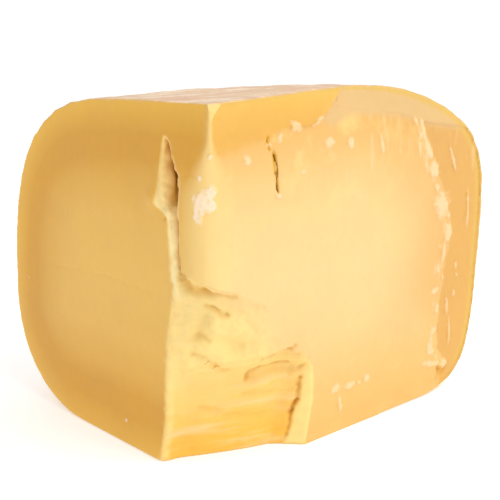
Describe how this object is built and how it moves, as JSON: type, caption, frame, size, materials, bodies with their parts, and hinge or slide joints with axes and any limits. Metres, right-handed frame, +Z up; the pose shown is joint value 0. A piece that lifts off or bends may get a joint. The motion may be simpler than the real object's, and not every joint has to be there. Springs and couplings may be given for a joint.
{
  "type": "cheese wedge",
  "caption": "Thick quarter wedge of hard aged cheese with a rounded natural rind, flat cut faces and a rough break at the foot of its inner edge.",
  "frame": {"origin": "under the middle of the bounding box, on the surface that the wedge rests on", "axes": "+Z up; the wedge opens along +Y with its inner edge toward -Y; +X to the right when it is seen from the inner edge, and the way the wheel leans"},
  "size_m": [0.1688, 0.1164, 0.11],
  "materials": {
    "cheese": "waxy, slightly moist cut faces, pale crumbly break, smooth dry rind"
  },
  "bodies": {
    "root": {"cheese_wedge": "cheese"}
  },
  "joints": []
}
